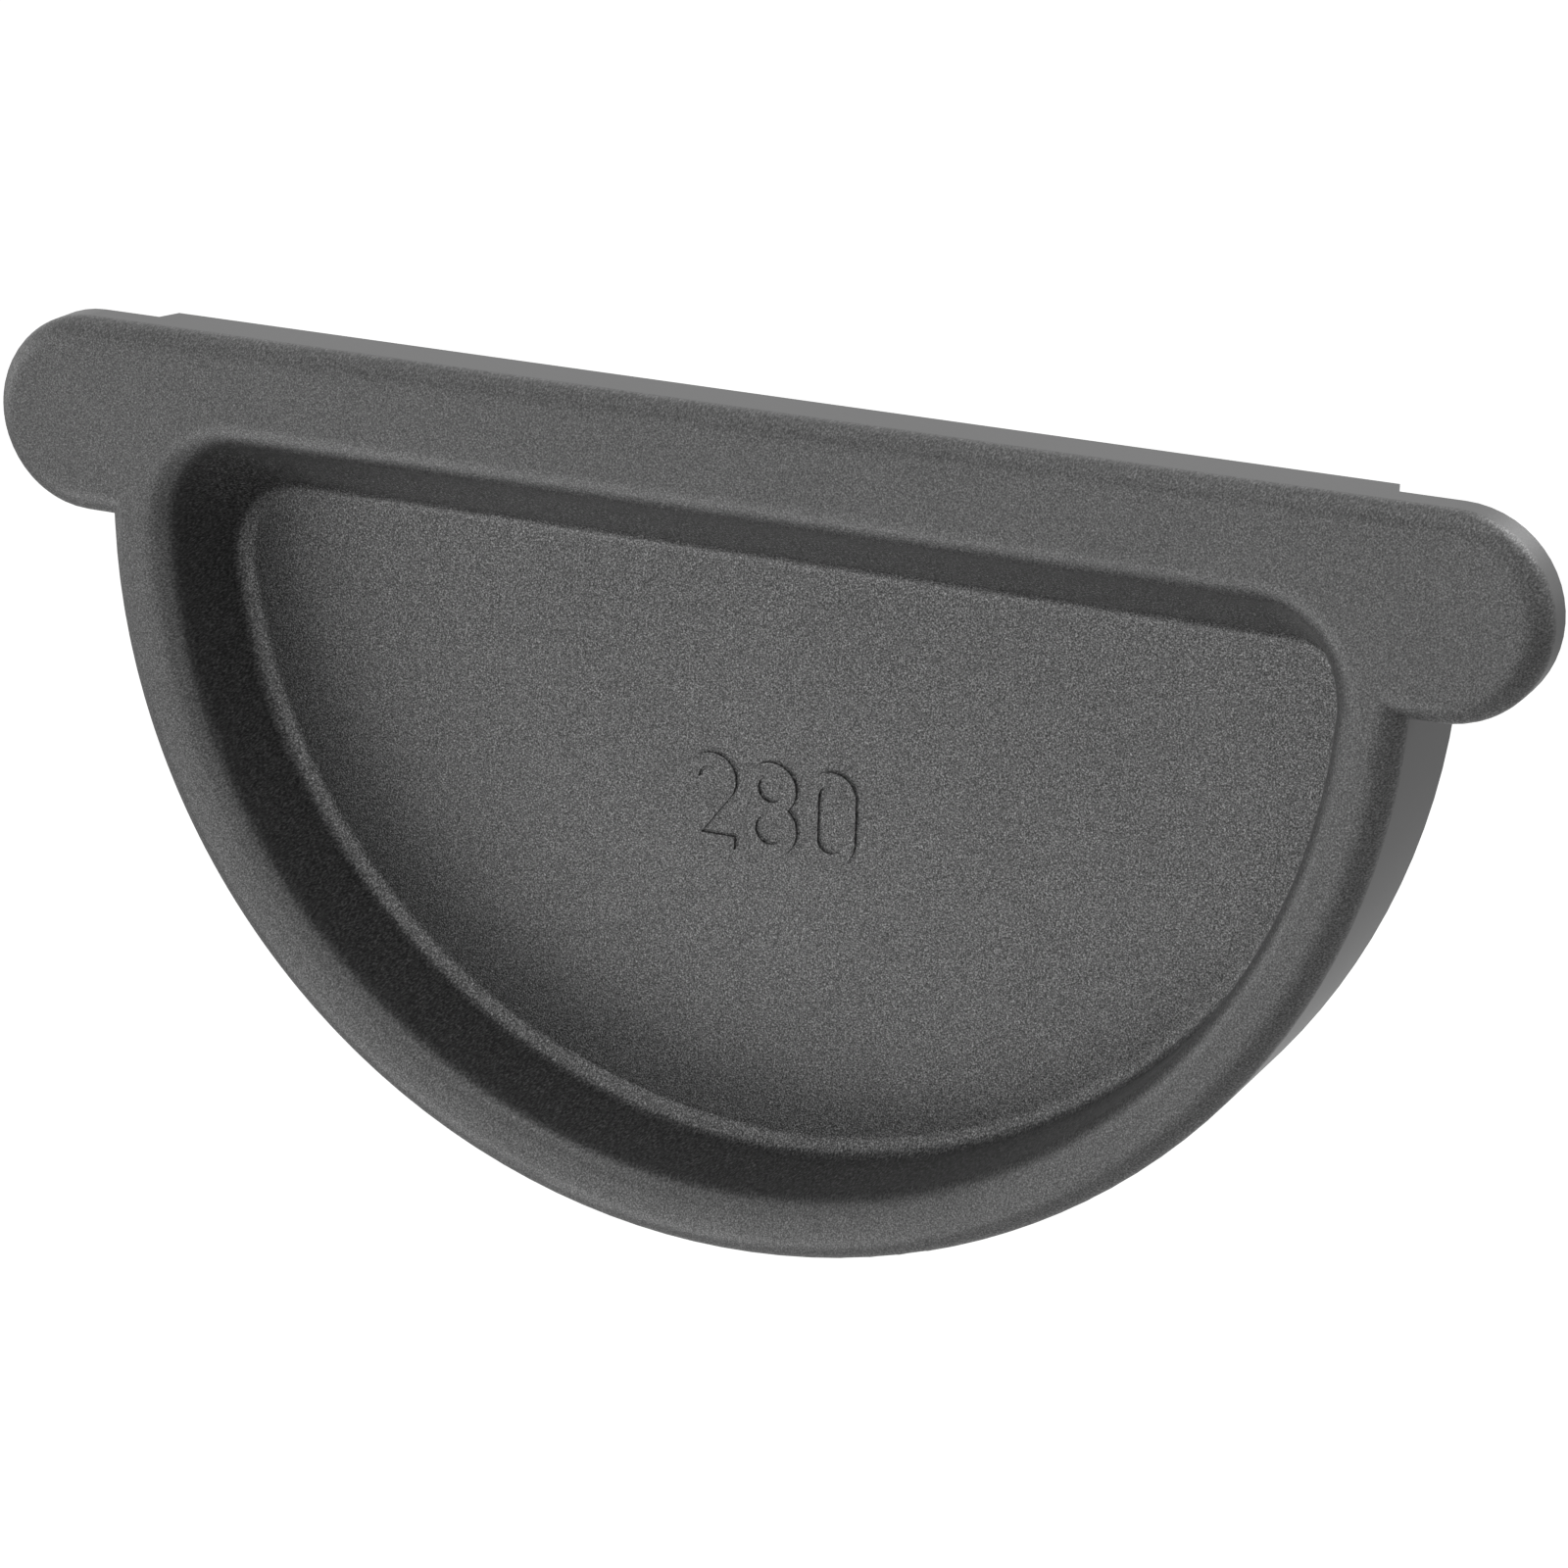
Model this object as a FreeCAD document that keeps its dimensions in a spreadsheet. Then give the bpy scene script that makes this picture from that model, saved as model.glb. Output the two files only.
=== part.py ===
# Half-round gutter end cap, drawn and trimmed from one sheet of coated steel.
# The outer face looks along -Y, the gutter comes in from +Y and the open top of the gutter is +Z.
# The origin is on the axis of the half-round collar, in the plane of the outer face. Millimetres.
import FreeCAD
import Part
import math
import os
import Sketcher

from FreeCAD import Vector

SIZES = {
    # sheet, and the bend that rolls the face over into the skirt
    "sheet": 0.6,
    "roll": 2.5,
    # half-round collar that goes over the gutter's end
    "collar_rad": 65.0,
    "collar_depth": 16.5,
    # bar across the top, with a round ear at each end for the gutter's bead
    "rise": 16.73,
    "ear_rad": 9.53,
    "ear_out": 2.8,
    "ear_depth": 5.2,
    # deeper flange along the middle of the bar, with sloping ends
    "flange_depth": 7.6,
    "flange_inset": 5.95,
    "flange_slope": 0.75,
    # dish: the ledge left round its mouth, the run of its leaning walls, and its bends
    "ledge": 6.5,
    "dish_drop": 0.35,
    "dish_below": 9.63,
    "dish_depth": 13.05,
    "side_run": 0.3,
    "top_run": 7.12,
    "dish_corner": 7.5,
    "lip": 3.0,
    "crease": 1.75,
}

doc = FreeCAD.newDocument("gutter_end_cap")
sheet = doc.addObject("Spreadsheet::Sheet", "sizes")
for row, (alias, value) in enumerate(SIZES.items(), start=1):
    sheet.set("A%d" % row, alias)
    sheet.set("B%d" % row, str(value))
    sheet.setAlias("B%d" % row, alias)
doc.recompute()

# Lean of the dish walls, as a run for each millimetre of depth.
SIDE_LEAN = "(sizes.side_run / sizes.dish_depth)"
TOP_LEAN = "(sizes.top_run / sizes.dish_depth)"


def origin_plane(body, role):
    """Origin plane of a body, by its role."""
    return next(part for part in body.Origin.OriginFeatures if part.Role == role)


def new_sketch(body, name, role, offset="0"):
    """Sketch on an origin plane of its body, moved along the plane's normal by a formula."""
    sketch = body.newObject("Sketcher::SketchObject", name)
    sketch.AttachmentSupport = [(origin_plane(body, role), "")]
    sketch.MapMode = "FlatFace"
    sketch.setExpression("AttachmentOffset.Base.z", offset)
    return sketch


def drive(sketch, name, constraint, formula):
    """Dimension of a sketch, tied to a formula of the sheet."""
    sketch.renameConstraint(sketch.addConstraint(constraint), name)
    sketch.setExpression("Constraints." + name, formula)


def arc(centre, radius, start, end):
    """Arc from one angle to another, in degrees."""
    circle = Part.Circle(centre, Vector(0, 0, 1), radius)
    return Part.ArcOfCircle(circle, math.radians(start), math.radians(end))


def join_smoothly(sketch, *ends):
    """Tangent joints between the ends of neighbouring lines and arcs."""
    for first, first_end, second, second_end in ends:
        sketch.addConstraint(Sketcher.Constraint("Tangent", first, first_end, second, second_end))


def join(sketch, *ends):
    """Plain corners between the ends of neighbouring lines."""
    for first, first_end, second, second_end in ends:
        sketch.addConstraint(Sketcher.Constraint("Coincident", first, first_end, second, second_end))


def polygon(sketch, corners):
    """Closed outline of straight lines through the corners, each line starting at its own corner."""
    count = len(corners)
    for line in range(count):
        start, end = corners[line], corners[(line + 1) % count]
        sketch.addGeometry(Part.LineSegment(Vector(*start, 0), Vector(*end, 0)))
    join(sketch, *[(line, 2, (line + 1) % count, 1) for line in range(count)])


def level(sketch, flat=(), upright=()):
    """Lines of a sketch that run along its own axes."""
    for line in flat:
        sketch.addConstraint(Sketcher.Constraint("Horizontal", line))
    for line in upright:
        sketch.addConstraint(Sketcher.Constraint("Vertical", line))


def bar_pad(body, inset):
    """Bar with round ends and a rolled front edge."""
    radius = SIZES["ear_rad"]
    reach = SIZES["collar_rad"] + SIZES["ear_out"]
    middle = SIZES["rise"] - radius
    sketch = new_sketch(body, body.Name + "_bar_outline", "XZ_Plane", "-(%s)" % inset)
    sketch.addGeometry([
        Part.LineSegment(Vector(-reach, middle + radius, 0), Vector(reach, middle + radius, 0)),
        arc(Vector(reach, middle, 0), radius, -90, 90),
        Part.LineSegment(Vector(reach, middle - radius, 0), Vector(-reach, middle - radius, 0)),
        arc(Vector(-reach, middle, 0), radius, 90, 270),
    ])
    join_smoothly(sketch, (0, 2, 1, 2), (1, 1, 2, 1), (2, 2, 3, 2), (3, 1, 0, 1))
    sketch.addConstraint(Sketcher.Constraint("Symmetric", 1, 3, 3, 3, -2))
    sketch.addConstraint(Sketcher.Constraint("Equal", 1, 3))
    drive(sketch, "reach", Sketcher.Constraint("DistanceX", -1, 1, 1, 3, reach),
          "sizes.collar_rad + sizes.ear_out")
    drive(sketch, "height", Sketcher.Constraint("DistanceY", -1, 1, 1, 3, middle),
          "sizes.rise - sizes.ear_rad")
    drive(sketch, "radius", Sketcher.Constraint("Radius", 1, radius), "sizes.ear_rad - %s" % inset)
    pad = body.newObject("PartDesign::Pad", body.Name + "_bar")
    pad.Profile = sketch
    pad.Reversed = True
    pad.setExpression("Length", "sizes.collar_depth")
    doc.recompute()

    faces = pad.Shape.Faces
    front = min(range(len(faces)), key=lambda number: faces[number].CenterOfMass.y)
    roll = body.newObject("PartDesign::Fillet", body.Name + "_bar_roll")
    roll.Base = (pad, ["Face%d" % (front + 1)])
    roll.setExpression("Radius", "sizes.roll - %s" % inset)
    doc.recompute()


def bowl_turn(body, inset):
    """Half-round bowl, turned from a section with the rolled front edge in it, up to the bar's middle."""
    radius = SIZES["collar_rad"]
    roll = SIZES["roll"]
    depth = SIZES["collar_depth"]
    sketch = new_sketch(body, body.Name + "_bowl_section", "YZ_Plane")
    sketch.addGeometry([
        Part.LineSegment(Vector(0, 0, 0), Vector(0, roll - radius, 0)),
        arc(Vector(roll, roll - radius, 0), roll, 180, 270),
        Part.LineSegment(Vector(roll, -radius, 0), Vector(depth, -radius, 0)),
        Part.LineSegment(Vector(depth, -radius, 0), Vector(depth, 0, 0)),
        Part.LineSegment(Vector(depth, 0, 0), Vector(0, 0, 0)),
    ])
    join_smoothly(sketch, (0, 2, 1, 1), (1, 2, 2, 1))
    join(sketch, (2, 2, 3, 1), (3, 2, 4, 1), (4, 2, 0, 1))
    level(sketch, flat=(2, 4), upright=(0, 3))
    sketch.addConstraint(Sketcher.Constraint("PointOnObject", 0, 1, -1))
    drive(sketch, "face", Sketcher.Constraint("DistanceX", -1, 1, 0, 1, SIZES["sheet"]), inset)
    drive(sketch, "radius", Sketcher.Constraint("DistanceY", 2, 1, -1, 1, radius),
          "sizes.collar_rad - %s" % inset)
    drive(sketch, "roll", Sketcher.Constraint("Radius", 1, roll), "sizes.roll - %s" % inset)
    drive(sketch, "back", Sketcher.Constraint("DistanceX", -1, 1, 3, 1, depth),
          "sizes.collar_depth + %s" % inset)
    turn = body.newObject("PartDesign::Revolution", body.Name + "_bowl")
    turn.Profile = sketch
    turn.ReferenceAxis = (sketch, ["H_Axis"])
    turn.Midplane = True
    turn.setExpression("Angle", "180 deg + 2 * asin((sizes.rise - sizes.ear_rad) / sizes.collar_rad)")
    turn.Refine = True
    doc.recompute()


def dish_punch(name, inset):
    """Punch that draws the dish: a shallow cone, cut off by the slanted top wall, with round corners."""
    side_swell = "%s * sqrt(1 + %s ^ 2)" % (inset, SIDE_LEAN)
    top_swell = "%s * sqrt(1 + %s ^ 2)" % (inset, TOP_LEAN)
    lead = SIZES["roll"]
    floor = SIZES["dish_depth"]
    mouth_rad = SIZES["collar_rad"] - SIZES["ledge"]
    floor_rad = mouth_rad - SIZES["side_run"]
    body = doc.addObject("PartDesign::Body", name)

    section = new_sketch(body, name + "_section", "YZ_Plane")
    section.setExpression("AttachmentOffset.Base.y", "-sizes.dish_drop")
    polygon(section, [(-lead, 0), (-lead, -mouth_rad), (floor, -floor_rad), (floor, 0)])
    level(section, upright=(0, 2))
    for line in (0, 3):
        section.addConstraint(Sketcher.Constraint("PointOnObject", line, 1, -1))
    drive(section, "lead", Sketcher.Constraint("DistanceX", 0, 1, -1, 1, lead), "sizes.roll")
    drive(section, "floor", Sketcher.Constraint("DistanceX", -1, 1, 2, 2, floor),
          "sizes.dish_depth + %s" % inset)
    drive(section, "mouth_radius", Sketcher.Constraint("DistanceY", 0, 2, -1, 1, mouth_rad),
          "sizes.collar_rad - sizes.ledge + sizes.roll * %s + %s" % (SIDE_LEAN, side_swell))
    drive(section, "floor_radius", Sketcher.Constraint("DistanceY", 1, 2, -1, 1, floor_rad),
          "sizes.collar_rad - sizes.ledge - sizes.side_run - %s * %s + %s" % (inset, SIDE_LEAN, side_swell))
    cone = body.newObject("PartDesign::Revolution", name + "_cone")
    cone.Profile = section
    cone.ReferenceAxis = (section, ["H_Axis"])
    cone.Angle = 360
    doc.recompute()

    far = SIZES["rise"] + SIZES["collar_rad"]
    mouth_top = SIZES["rise"] - SIZES["dish_below"]
    floor_top = mouth_top - SIZES["top_run"]
    above = new_sketch(body, name + "_above", "YZ_Plane")
    polygon(above, [(-lead, mouth_top), (floor, floor_top), (floor, far), (-lead, far)])
    level(above, flat=(2,), upright=(1, 3))
    drive(above, "lead", Sketcher.Constraint("DistanceX", 0, 1, -1, 1, lead), "sizes.roll")
    drive(above, "floor", Sketcher.Constraint("DistanceX", -1, 1, 0, 2, floor),
          "sizes.dish_depth + %s" % inset)
    drive(above, "mouth_top", Sketcher.Constraint("DistanceY", -1, 1, 0, 1, mouth_top),
          "sizes.rise - sizes.dish_below + sizes.roll * %s + %s" % (TOP_LEAN, top_swell))
    drive(above, "floor_top", Sketcher.Constraint("DistanceY", 0, 2, 0, 1, SIZES["top_run"]),
          "sizes.top_run + (sizes.roll + %s) * %s" % (inset, TOP_LEAN))
    drive(above, "far", Sketcher.Constraint("DistanceY", -1, 1, 2, 1, far), "sizes.rise + sizes.collar_rad")
    slant = body.newObject("PartDesign::Pocket", name + "_slant")
    slant.Profile = above
    slant.Midplane = True
    slant.Type = "ThroughAll"
    doc.recompute()

    # the two edges where the slanted wall meets the round one
    corners = body.newObject("PartDesign::Fillet", name + "_corners")
    corners.Base = (slant, ["Edge%d" % number for number, edge in enumerate(slant.Shape.Edges, start=1)
                            if edge.BoundBox.YLength > SIZES["dish_depth"]
                            and edge.BoundBox.ZMax > -SIZES["dish_corner"]])
    corners.setExpression("Radius", "sizes.dish_corner + %s" % inset)
    doc.recompute()

    faces = corners.Shape.Faces
    bottom = max(range(len(faces)), key=lambda number: faces[number].CenterOfMass.y)
    crease = body.newObject("PartDesign::Fillet", name + "_crease")
    crease.Base = (corners, ["Face%d" % (bottom + 1)])
    crease.setExpression("Radius", "sizes.crease + %s" % inset)
    doc.recompute()
    return body


def dish_mouth(feature, depth):
    """Edges where the dish breaks through the face that lies at a depth."""
    touch = SIZES["sheet"] / 10
    half_width = SIZES["collar_rad"] - SIZES["roll"]
    top = SIZES["rise"] - SIZES["roll"]
    names = []
    for number, edge in enumerate(feature.Shape.Edges, start=1):
        box = edge.BoundBox
        in_face = abs(box.YMin - depth) < touch and abs(box.YMax - depth) < touch
        inside = -half_width < box.XMin and box.XMax < half_width and box.ZMax < top
        if in_face and inside:
            names.append("Edge%d" % number)
    return names


def press_form(name, inset, depth):
    """One side of the pressed sheet as a solid form, set in from the outer side by a formula."""
    body = doc.addObject("PartDesign::Body", name)
    bar_pad(body, inset)
    bowl_turn(body, inset)
    dish = body.newObject("PartDesign::Boolean", name + "_dish")
    dish.Type = "Cut"
    dish.setObjects([dish_punch(name + "_punch", inset)])
    dish.Refine = True
    doc.recompute()
    lip = body.newObject("PartDesign::Fillet", name + "_lip")
    lip.Base = (dish, dish_mouth(dish, depth))
    lip.setExpression("Radius", "sizes.lip - %s" % inset)
    doc.recompute()
    return body


def trim_waste():
    """Waste cut off the skirt behind the bar, which leaves short ears and a deeper top flange."""
    body = doc.addObject("PartDesign::Body", "trim_waste")
    inner = SIZES["collar_rad"] - SIZES["ledge"] / 2
    outer = SIZES["collar_rad"] + SIZES["ear_out"] + 2 * SIZES["ear_rad"]
    low = SIZES["rise"] - 2 * SIZES["ear_rad"]
    middle = SIZES["rise"] - SIZES["ear_rad"]
    high = SIZES["rise"] + SIZES["ear_rad"]
    outline = new_sketch(body, "ear_back", "XZ_Plane", "-sizes.ear_depth")
    polygon(outline, [(inner, low), (outer, low), (outer, high), (-outer, high),
                      (-outer, low), (-inner, low), (-inner, middle), (inner, middle)])
    level(outline, flat=(0, 2, 4, 6), upright=(1, 3, 5, 7))
    outline.addConstraint(Sketcher.Constraint("Symmetric", 0, 1, 5, 1, -2))
    drive(outline, "inner", Sketcher.Constraint("DistanceX", -1, 1, 0, 1, inner),
          "sizes.collar_rad - sizes.ledge / 2")
    drive(outline, "right", Sketcher.Constraint("DistanceX", -1, 1, 1, 1, outer),
          "sizes.collar_rad + sizes.ear_out + 2 * sizes.ear_rad")
    drive(outline, "left", Sketcher.Constraint("DistanceX", 3, 2, -1, 1, outer),
          "sizes.collar_rad + sizes.ear_out + 2 * sizes.ear_rad")
    drive(outline, "low", Sketcher.Constraint("DistanceY", 0, 1, -1, 1, -low),
          "2 * sizes.ear_rad - sizes.rise")
    drive(outline, "middle", Sketcher.Constraint("DistanceY", -1, 1, 7, 1, middle),
          "sizes.rise - sizes.ear_rad")
    drive(outline, "high", Sketcher.Constraint("DistanceY", -1, 1, 2, 1, high),
          "sizes.rise + sizes.ear_rad")
    waste = body.newObject("PartDesign::Pad", "skirt_waste")
    waste.Profile = outline
    waste.Reversed = True
    waste.setExpression("Length", "sizes.collar_depth")
    doc.recompute()

    near, deep = SIZES["ear_depth"], SIZES["flange_depth"]
    foot = SIZES["collar_rad"] + SIZES["ear_out"] - SIZES["flange_inset"]
    head = foot - SIZES["flange_slope"]
    tab = new_sketch(body, "flange_outline", "XY_Plane", "sizes.rise - sizes.ear_rad")
    polygon(tab, [(-foot, near), (foot, near), (head, deep), (-head, deep)])
    tab.addConstraint(Sketcher.Constraint("Symmetric", 0, 1, 0, 2, -2))
    tab.addConstraint(Sketcher.Constraint("Symmetric", 2, 1, 2, 2, -2))
    drive(tab, "foot", Sketcher.Constraint("DistanceX", -1, 1, 1, 1, foot),
          "sizes.collar_rad + sizes.ear_out - sizes.flange_inset")
    drive(tab, "slope", Sketcher.Constraint("DistanceX", 2, 1, 1, 1, SIZES["flange_slope"]),
          "sizes.flange_slope")
    drive(tab, "near", Sketcher.Constraint("DistanceY", -1, 1, 1, 1, near), "sizes.ear_depth")
    drive(tab, "deep", Sketcher.Constraint("DistanceY", -1, 1, 2, 1, deep), "sizes.flange_depth")
    flange = body.newObject("PartDesign::Pocket", "flange_left_standing")
    flange.Profile = tab
    flange.Reversed = True
    flange.Type = "ThroughAll"
    doc.recompute()
    if flange.Shape.Volume >= waste.Shape.Volume:
        raise RuntimeError("the flange isn't left standing")
    return body


# The pressed sheet is what lies between its outer and its inner side.
pressed = doc.addObject("Part::Cut", "pressed_sheet")
pressed.Base = press_form("outer_form", "0", 0.0)
pressed.Tool = press_form("inner_form", "sizes.sheet", SIZES["sheet"])

end_cap = doc.addObject("Part::Cut", "end_cap")
end_cap.Label = "end_cap"
end_cap.Base = pressed
end_cap.Tool = trim_waste()
doc.recompute()

for feature in doc.Objects:
    if "Invalid" in feature.State or "Error" in feature.State:
        raise RuntimeError("%s failed: %s" % (feature.Name, feature.State))
shape = end_cap.Shape
if shape.isNull() or not shape.isValid() or len(shape.Solids) != 1:
    raise RuntimeError("end_cap is not one valid solid")

os.makedirs("parts", exist_ok=True)
shape.exportStep("parts/end_cap.step")
print("end_cap %.1f mm3" % shape.Volume)
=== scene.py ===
import math

import bpy
from mathutils import Matrix, Vector


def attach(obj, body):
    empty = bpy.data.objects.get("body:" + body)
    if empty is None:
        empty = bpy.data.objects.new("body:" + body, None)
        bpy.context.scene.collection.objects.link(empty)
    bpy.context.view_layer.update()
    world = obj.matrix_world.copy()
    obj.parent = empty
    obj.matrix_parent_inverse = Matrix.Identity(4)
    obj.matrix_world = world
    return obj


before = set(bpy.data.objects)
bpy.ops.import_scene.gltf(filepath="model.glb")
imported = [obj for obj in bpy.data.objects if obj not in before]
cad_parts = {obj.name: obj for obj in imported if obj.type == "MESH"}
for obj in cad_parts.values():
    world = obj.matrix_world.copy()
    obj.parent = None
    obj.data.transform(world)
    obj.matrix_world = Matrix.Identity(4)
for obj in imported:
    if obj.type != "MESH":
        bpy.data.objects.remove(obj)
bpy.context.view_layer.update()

# The end cap itself: one sheet of 0.6 mm steel, deep drawn into a dish with a rolled rim and two round
# ears, trimmed, and then powder coated all over. It is pushed over the cut end of a half-round gutter,
# and nothing else is fixed to it, so its solid carries the whole shape and only takes its coat here.
MM = 0.001
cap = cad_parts["end_cap"]


def linear(hex_colour):
    """Colour for a shader socket from an sRGB hex value."""
    channels = [int(hex_colour[i:i + 2], 16) / 255 for i in (1, 3, 5)]
    return [c / 12.92 if c <= 0.04045 else ((c + 0.055) / 1.055) ** 2.4 for c in channels] + [1.0]


def add_node(tree, kind, inputs=None, **settings):
    """Node with its settings, whose inputs are values or the outputs of other nodes."""
    node = tree.nodes.new(kind)
    for name, value in settings.items():
        setattr(node, name, value)
    for name, value in (inputs or {}).items():
        if isinstance(value, bpy.types.NodeSocket):
            tree.links.new(value, node.inputs[name])
        else:
            node.inputs[name].default_value = value
    return node


def powder_coat():
    """Polyester powder coat, sprayed from the front and baked: matt anthracite grey with a fine grain.

    To the eye the grain breaks up the light on the face, its rolled rim and the dish. It lies drier and
    rougher towards the bottom of the dish and on the wall under the bar, where the spray eddies. The flange
    and the skirt, which the spray passes at a slant, take less powder and flow out smooth.
    """
    # The specks of a real coat are too fine to show in a picture of the whole cap, so they are drawn coarser.
    grit = 0.15 * MM
    speck_high = 0.02 * MM
    # The coat is a little thicker and lighter in some places than in others.
    patch = 14 * MM
    # The sheet is thin and its trimmed edges are sharp, so the coat rounds them no more than this.
    edge_round = 0.13 * MM
    # Borders of the stretches that take more powder, each from where it starts to fade to where it ends: the
    # rim of the dish's mouth, the foot of the bar, the rolled rim of the face, and the depth of the walls.
    mouth_border = (61.0 * MM, 61.5 * MM)
    bar_border = (9.0 * MM, 9.5 * MM)
    rim_border = (2.2 * MM, 2.5 * MM)
    wall_depth = (1.5 * MM, 6.0 * MM)
    material = bpy.data.materials.new("polyester_powder_coat_anthracite")
    material.use_nodes = True
    tree = material.node_tree
    tree.nodes.clear()

    # Where the spray lands: 1 on the front and its rolled rim, and from there on only inside the dish.
    place = add_node(tree, "ShaderNodeTexCoord")
    spot = add_node(tree, "ShaderNodeSeparateXYZ", {"Vector": place.outputs["Object"]})
    flat = add_node(tree, "ShaderNodeVectorMath", {0: place.outputs["Object"], 1: (1, 0, 1)},
                    operation="MULTIPLY")
    reach = add_node(tree, "ShaderNodeVectorMath", {0: flat.outputs["Vector"]}, operation="LENGTH")
    in_round = add_node(tree, "ShaderNodeMapRange", {"Value": reach.outputs["Value"],
                                                     "From Min": mouth_border[0], "From Max": mouth_border[1],
                                                     "To Min": 1.0, "To Max": 0.0})
    below_bar = add_node(tree, "ShaderNodeMapRange", {"Value": spot.outputs["Z"],
                                                      "From Min": bar_border[0], "From Max": bar_border[1],
                                                      "To Min": 1.0, "To Max": 0.0})
    at_front = add_node(tree, "ShaderNodeMapRange", {"Value": spot.outputs["Y"],
                                                     "From Min": rim_border[0], "From Max": rim_border[1],
                                                     "To Min": 1.0, "To Max": 0.0})
    in_dish = add_node(tree, "ShaderNodeMath", {0: in_round.outputs["Result"],
                                                1: below_bar.outputs["Result"]}, operation="MULTIPLY")

    # How dry it lands: drier with the depth of the dish, and drier again on a wall that faces down.
    with_depth = add_node(tree, "ShaderNodeMapRange", {"Value": spot.outputs["Y"],
                                                       "From Min": wall_depth[0], "From Max": wall_depth[1],
                                                       "To Min": 1.0, "To Max": 1.6})
    in_dish_dry = add_node(tree, "ShaderNodeMath", {0: in_dish.outputs[0], 1: with_depth.outputs["Result"]},
                           operation="MULTIPLY")
    sprayed = add_node(tree, "ShaderNodeMath", {0: at_front.outputs["Result"], 1: in_dish_dry.outputs[0]},
                       operation="MAXIMUM")
    facing = add_node(tree, "ShaderNodeSeparateXYZ", {"Vector": place.outputs["Normal"]})
    facing_down = add_node(tree, "ShaderNodeMapRange", {"Value": facing.outputs["Z"], "From Min": -0.85,
                                                        "From Max": -0.4, "To Min": 1.6, "To Max": 1.0})
    dryness = add_node(tree, "ShaderNodeMath", {0: sprayed.outputs[0], 1: facing_down.outputs["Result"]},
                       operation="MULTIPLY")

    # The specks are drawn longer along the depth of the cap, since its walls are seen at a slant, and are
    # turned, so that no flat face cuts them along their own grid.
    turned = add_node(tree, "ShaderNodeMapping", {"Vector": place.outputs["Object"], "Scale": (1, 0.3, 1),
                                                  "Rotation": (0.6, 0.4, 0.9)})
    noise = add_node(tree, "ShaderNodeTexNoise", {"Vector": turned.outputs["Vector"], "Scale": 1 / grit,
                                                  "Detail": 1.0, "Roughness": 0.5})
    specks = add_node(tree, "ShaderNodeMapRange", {"Value": noise.outputs["Fac"], "From Min": 0.3,
                                                   "From Max": 0.7, "To Min": -1.0, "To Max": 1.0},
                      clamp=False)
    grain = add_node(tree, "ShaderNodeMath", {0: specks.outputs["Result"], 1: dryness.outputs[0]},
                     operation="MULTIPLY")

    # A speck turns its top to the light and its foot away, so colour and gloss grow lighter or darker alike.
    # The change is a power of two, which never goes below black.
    flow = add_node(tree, "ShaderNodeTexNoise", {"Vector": turned.outputs["Vector"], "Scale": 1 / patch,
                                                 "Detail": 2.0})
    thickness = add_node(tree, "ShaderNodeMapRange", {"Value": flow.outputs["Fac"], "From Min": 0.3,
                                                      "From Max": 0.7, "To Min": -0.04, "To Max": 0.04})
    stops = add_node(tree, "ShaderNodeMath", {0: grain.outputs[0], 1: 0.8, 2: thickness.outputs["Result"]},
                     operation="MULTIPLY_ADD")
    shade = add_node(tree, "ShaderNodeMath", {0: 2.0, 1: stops.outputs[0]}, operation="POWER")
    colour = add_node(tree, "ShaderNodeVectorMath", {0: linear("#3C3C3C")[:3], "Scale": shade.outputs[0]},
                      operation="SCALE")
    rounded = add_node(tree, "ShaderNodeBevel", {"Radius": edge_round}, samples=6)
    bump = add_node(tree, "ShaderNodeBump", {"Height": grain.outputs[0], "Normal": rounded.outputs["Normal"],
                                             "Strength": 0.3, "Distance": speck_high})
    coat = add_node(tree, "ShaderNodeBsdfPrincipled", {"Base Color": colour.outputs["Vector"],
                                                       "Roughness": 0.43, "IOR": 1.5,
                                                       "Specular IOR Level": 0.88,
                                                       "Specular Tint": shade.outputs[0],
                                                       "Normal": bump.outputs["Normal"]})
    add_node(tree, "ShaderNodeOutputMaterial", {"Surface": coat.outputs["BSDF"]})
    return material


coat = powder_coat()
for material_slot in cap.material_slots:
    material_slot.material = coat

# The size stamp on the dish: the plain number of the standard gutter that the cap fits. The figures stand
# 0.3 mm proud of the floor, with upright sides, because the sheet is pressed into a cut die from behind.
FIGURE_HIGH = 9.3 * MM
FIGURE_PROUD = 0.3 * MM
FIGURE_PITCH = 6.22 * MM
STROKE = 1.28 * MM
FLOOR_Y = 13.05 * MM
FIGURE_FOOT = -29.25 * MM


def arc_points(centre, radius, start, end, steps=40):
    """Points round an arc, from one angle to another in degrees, with x to the right and z up."""
    angles = [math.radians(start + (end - start) * i / steps) for i in range(steps + 1)]
    return [(centre[0] + radius * math.cos(a), centre[1] + radius * math.sin(a)) for a in angles]


def figure(name, outlines, x_middle):
    """Raised figure from closed outlines, of which the inner ones are holes."""
    curve = bpy.data.curves.new(name, "CURVE")
    curve.dimensions = "2D"
    curve.fill_mode = "BOTH"
    curve.extrude = FIGURE_PROUD
    for points in outlines:
        spline = curve.splines.new("POLY")
        spline.points.add(len(points) - 1)
        for point, (x, z) in zip(spline.points, points):
            point.co = (x, z, 0, 1)
        spline.use_cyclic_u = True
    flat = bpy.data.objects.new(name + "_outline", curve)
    stand = Matrix.Translation((x_middle, FLOOR_Y, FIGURE_FOOT)) @ Matrix.Rotation(math.pi / 2, 4, "X")
    mesh = bpy.data.meshes.new_from_object(flat)
    mesh.transform(stand)
    bpy.data.objects.remove(flat)
    piece = bpy.data.objects.new(name, mesh)
    bpy.context.scene.collection.objects.link(piece)
    mesh.materials.append(coat)
    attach(piece, "root")
    return piece


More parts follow.
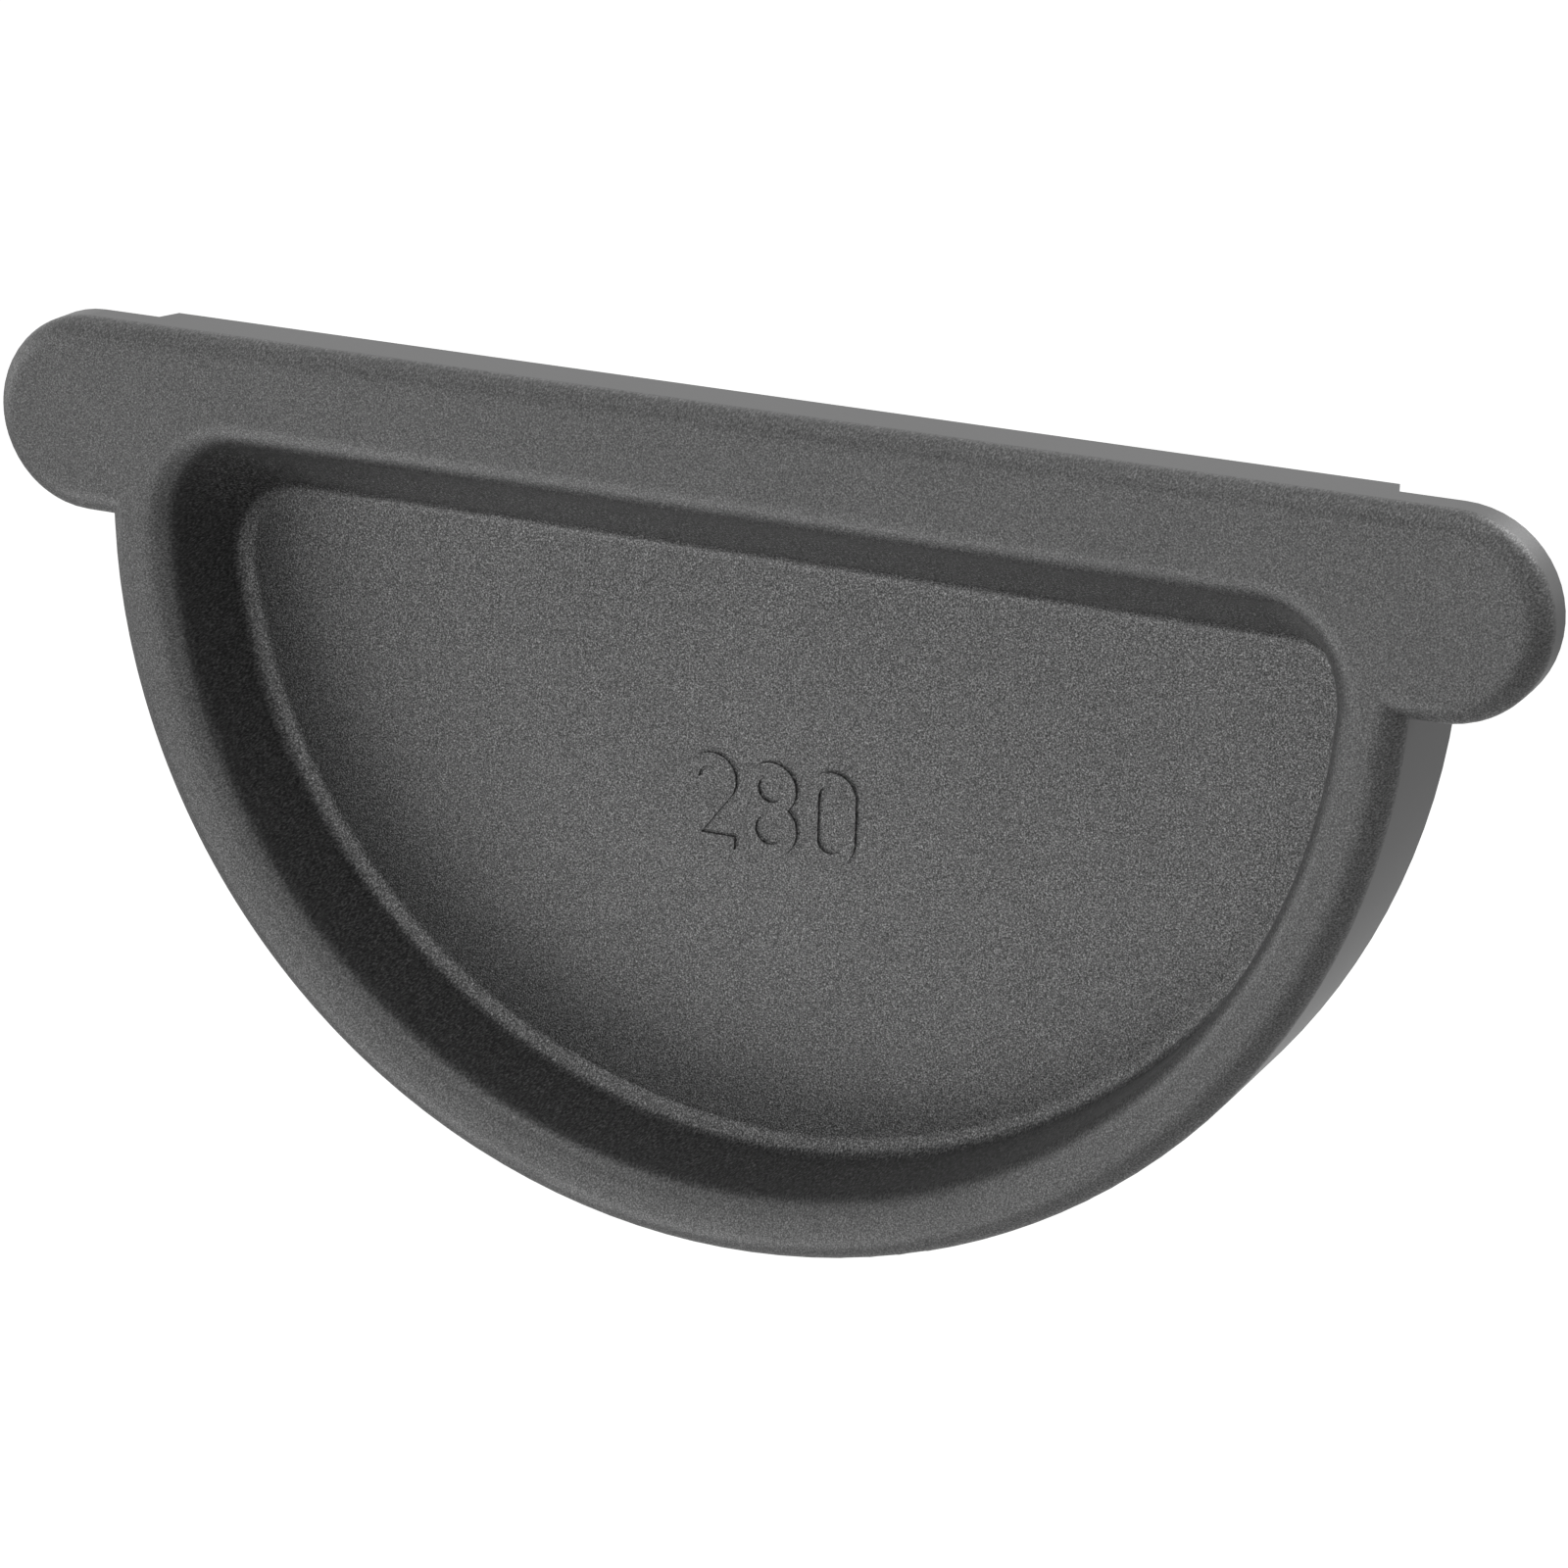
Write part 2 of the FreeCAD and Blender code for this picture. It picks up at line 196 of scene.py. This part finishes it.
def nought():
    """Stadium ring."""
    half = 2.56 * MM
    low, high = half, FIGURE_HIGH - half
    outlines = []
    for radius in (half, half - STROKE):
        outlines.append(arc_points((0, high), radius, 0, 180) + arc_points((0, low), radius, 180, 360))
    return outlines


def eight():
    """Two round lobes that meet in a sharp waist, each with a round hole."""
    upper, lower = 2.6 * MM, 2.77 * MM
    gap = 4.0 * MM
    below_foot = 0.1 * MM
    low = lower - below_foot
    high = low + gap
    waist = (gap ** 2 + lower ** 2 - upper ** 2) / (2 * gap)
    from_low = math.degrees(math.asin(waist / lower))
    from_high = math.degrees(math.asin((gap - waist) / upper))
    outline = (arc_points((0, high), upper, -from_high, 180 + from_high)
               + arc_points((0, low), lower, 180 - from_low, 360 + from_low))
    holes = [arc_points((0, high), upper - STROKE, 0, 360), arc_points((0, low), lower - STROKE, 0, 360)]
    return [outline] + [hole[:-1] for hole in holes]


def two():
    """Hook, slanting stem and straight foot, drawn with one stroke."""
    half = 2.58 * MM
    centre = (0, FIGURE_HIGH - half)
    lean = 52.5
    hook_end = lean - 90
    outer = arc_points(centre, half, 180, hook_end)
    inner = arc_points(centre, half - STROKE, hook_end, 180)
    direction = (-math.cos(math.radians(lean)), -math.sin(math.radians(lean)))

    def run_to(point, height):
        """Point where the stem that starts at a point comes down to a height."""
        reach = (height - point[1]) / direction[1]
        return (point[0] + direction[0] * reach, height)

    foot_right = run_to(outer[-1], STROKE)
    foot_left = run_to(inner[0], STROKE)
    return [outer + [foot_right, (half, STROKE), (half, 0), (-half, 0), (-half, foot_left[1])] + inner]


figure("figure_2", two(), -FIGURE_PITCH)
figure("figure_8", eight(), 0)
figure("figure_0", nought(), FIGURE_PITCH)

# The room it is shown in: a plain pale floor well below the cap, which would hang on its gutter, and a white
# surround. Both are white to the eye and add little light of their own. In the coat's gloss the floor is the
# darker of the two, so that what faces down stays dark.
FLOOR_Z = -1.4
FLOOR_WIDE = 24


def backdrop_rays(tree):
    """1 for the rays that see the surround or the floor itself, straight, mirrored or through glass."""
    ray = add_node(tree, "ShaderNodeLightPath")
    seen = add_node(tree, "ShaderNodeMath", {0: ray.outputs["Is Camera Ray"],
                                             1: ray.outputs["Is Glossy Ray"]}, operation="MAXIMUM")
    return add_node(tree, "ShaderNodeMath", {0: seen.outputs[0], 1: ray.outputs["Is Transmission Ray"]},
                    operation="MAXIMUM").outputs[0]


bpy.ops.mesh.primitive_plane_add(size=FLOOR_WIDE, location=(0, 0, FLOOR_Z))
floor = bpy.context.object
floor.name = "floor"
paint = bpy.data.materials.new("matt_white_floor_paint")
paint.use_nodes = True
tree = paint.node_tree
tree.nodes.clear()
matt = add_node(tree, "ShaderNodeBsdfDiffuse", {"Color": linear("#D8D8D8")})
place = add_node(tree, "ShaderNodeTexCoord")
away = add_node(tree, "ShaderNodeVectorMath", {0: place.outputs["Object"]}, operation="LENGTH")
to_eye = add_node(tree, "ShaderNodeMapRange", {"Value": away.outputs["Value"], "From Min": 1.0,
                                               "From Max": 1.8, "To Min": 0.86, "To Max": 1.0})
ray = add_node(tree, "ShaderNodeLightPath")
level = add_node(tree, "ShaderNodeMix", {"Factor": ray.outputs["Is Camera Ray"], "A": 0.4,
                                         "B": to_eye.outputs["Result"]})
shown = add_node(tree, "ShaderNodeMath", {0: backdrop_rays(tree), 1: level.outputs["Result"]},
                 operation="MULTIPLY")
lift = add_node(tree, "ShaderNodeEmission", {"Color": linear("#FFFFFF"), "Strength": shown.outputs[0]})
both = add_node(tree, "ShaderNodeAddShader", {0: matt.outputs[0], 1: lift.outputs[0]})
add_node(tree, "ShaderNodeOutputMaterial", {"Surface": both.outputs[0]})
floor.data.materials.append(paint)

world = bpy.data.worlds.new("white_surround")
bpy.context.scene.world = world
world.use_nodes = True
tree = world.node_tree
tree.nodes.clear()
strength = add_node(tree, "ShaderNodeMapRange", {"Value": backdrop_rays(tree), "To Min": 0.16, "To Max": 1.0})
white = add_node(tree, "ShaderNodeBackground", {"Color": linear("#FFFFFF"),
                                                "Strength": strength.outputs["Result"]})
add_node(tree, "ShaderNodeOutputWorld", {"Surface": white.outputs["Background"]})

# Soft boxes stand round the front of the cap. More of their light comes from the left and from below than
# from the right, as in the photograph. Two more stand behind it and show its back.
BOX_AWAY = 1.5
BOX_WIDE = 0.9


def soft_box(name, right, above, watts):
    """Square studio lamp that faces the cap, at so many degrees to the right of its front and above it."""
    right, above = math.radians(right), math.radians(above)
    towards = Vector((math.sin(right) * math.cos(above), -math.cos(right) * math.cos(above), math.sin(above)))
    lamp = bpy.data.lights.new(name, "AREA")
    lamp.shape = "SQUARE"
    lamp.size = BOX_WIDE
    lamp.energy = watts
    holder = bpy.data.objects.new(name, lamp)
    holder.location = towards * BOX_AWAY
    holder.rotation_euler = towards.to_track_quat("Z", "Y").to_euler()
    bpy.context.scene.collection.objects.link(holder)


soft_box("front", 0, 0, 3.2)
soft_box("front_left", -37, 0, 1.0)
soft_box("left", -75, 0, 3.6)
soft_box("low_left", -37, -40, 6.0)
soft_box("high_right", 37, 40, 0.9)
soft_box("overhead", 0, 75, 2.9)
soft_box("high_back", 150, 38, 9.0)
soft_box("low_back", -165, -25, 1.5)

# The camera stands a little to the right of the cap and above it, and is turned a little about its own line
# of sight, as in the photograph.
CAMERA_RIGHT = math.radians(24.32)
CAMERA_ABOVE = math.radians(18.245)
CAMERA_TURN = math.radians(1.723)
CAMERA_AWAY = 477.7 * MM
LENS_MM = 118.98
AIM = Vector((4.86, 5.0, -19.03)) * MM

back = Vector((math.sin(CAMERA_RIGHT) * math.cos(CAMERA_ABOVE),
               -math.cos(CAMERA_RIGHT) * math.cos(CAMERA_ABOVE),
               math.sin(CAMERA_ABOVE)))
level = Vector((math.cos(CAMERA_RIGHT), math.sin(CAMERA_RIGHT), 0))
upward = back.cross(level)
right = math.cos(CAMERA_TURN) * level + math.sin(CAMERA_TURN) * upward
up = back.cross(right)
camera_data = bpy.data.cameras.new("camera")
camera_data.lens = LENS_MM
camera_data.sensor_width = 36
camera_data.clip_start = 0.01
camera = bpy.data.objects.new("camera", camera_data)
turn = Matrix((right, up, back)).transposed().to_4x4()
camera.matrix_world = Matrix.Translation(AIM + CAMERA_AWAY * back) @ turn
bpy.context.scene.collection.objects.link(camera)
bpy.context.scene.camera = camera
bpy.context.scene.view_settings.view_transform = "Standard"
